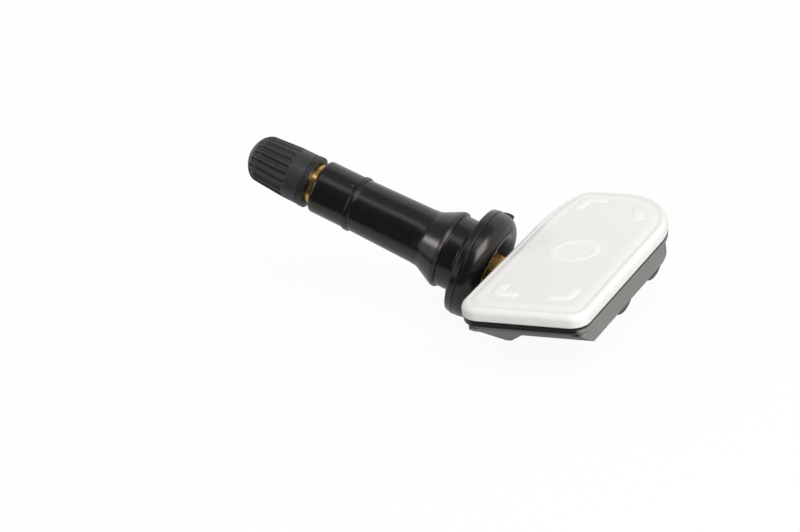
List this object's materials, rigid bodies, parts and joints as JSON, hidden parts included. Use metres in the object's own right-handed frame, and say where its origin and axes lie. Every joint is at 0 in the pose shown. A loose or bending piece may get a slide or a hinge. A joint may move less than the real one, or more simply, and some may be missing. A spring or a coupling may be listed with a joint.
{
  "type": "tyre pressure sensor",
  "caption": "Snap-in rubber tyre valve with a fluted cap, carrying a black housing with a translucent white lid for wheel pressure sensing.",
  "frame": {"origin": "on the valve's axis, in the groove that grips the wheel rim", "axes": "+X from the valve towards the housing, +Y towards the lid's rounder end, +Z square to the lid, upwards"},
  "size_m": [0.0752, 0.0521, 0.0321],
  "materials": {
    "cap_plastic": "satin",
    "rubber_black": "satin",
    "brass": "polished",
    "seal_red": "satin",
    "spring_steel": "polished",
    "screw_steel": "satin",
    "housing_black": "matte",
    "lid_white": "satin",
    "board_green": "satin",
    "cell_steel": "polished",
    "chip_black": "matte",
    "coil_copper": "satin",
    "potting_grey": "satin"
  },
  "bodies": {
    "sensor": {"valve_stem": "brass", "valve_rubber": "rubber_black", "core_plug": "brass", "core_barrel": "brass", "barrel_gasket": "seal_red", "core_spring": "spring_steel", "stem_screw": "screw_steel", "housing_base": "housing_black", "housing_lid": "lid_white", "circuit_board": "board_green", "coin_cell": "cell_steel", "cell_top_tab": "cell_steel", "cell_bottom_tab": "cell_steel", "pressure_sensor": "chip_black", "port_seal": "rubber_black", "trigger_coil": "coil_copper", "crystal": "cell_steel", "chip_parts": "chip_black", "radio_antenna": "coil_copper", "potting": "potting_grey"},
    "cap_liner": {"cap_seal": "rubber_black"},
    "cap": {"valve_cap": "cap_plastic"},
    "valve_pin": {"core_pin": "brass", "core_cup": "brass", "cup_seal": "rubber_black"}
  },
  "joints": [
    {"name": "cap_lift", "type": "slide", "parent": "sensor", "child": "cap_liner", "axis": [-0.9135, 0, 0.4067], "range_m": [0, 0.0081]},
    {"name": "cap_turn", "type": "hinge", "parent": "cap_liner", "child": "cap", "pos_m": [-0.03106, 0, 0.01383], "axis": [-0.9135, 0, 0.4067], "range_deg": [0, 3672]},
    {"name": "pin_press", "type": "slide", "parent": "sensor", "child": "valve_pin", "axis": [0.9135, 0, -0.4067], "range_m": [0, 0.0012], "stiffness_N_per_m": 300, "springref_m": -0.002, "deforming": ["core_spring"]}
  ],
  "couplings": [
    {"joint": "cap_turn", "follows": "cap_lift", "rad_per_m": 7915.8}
  ]
}
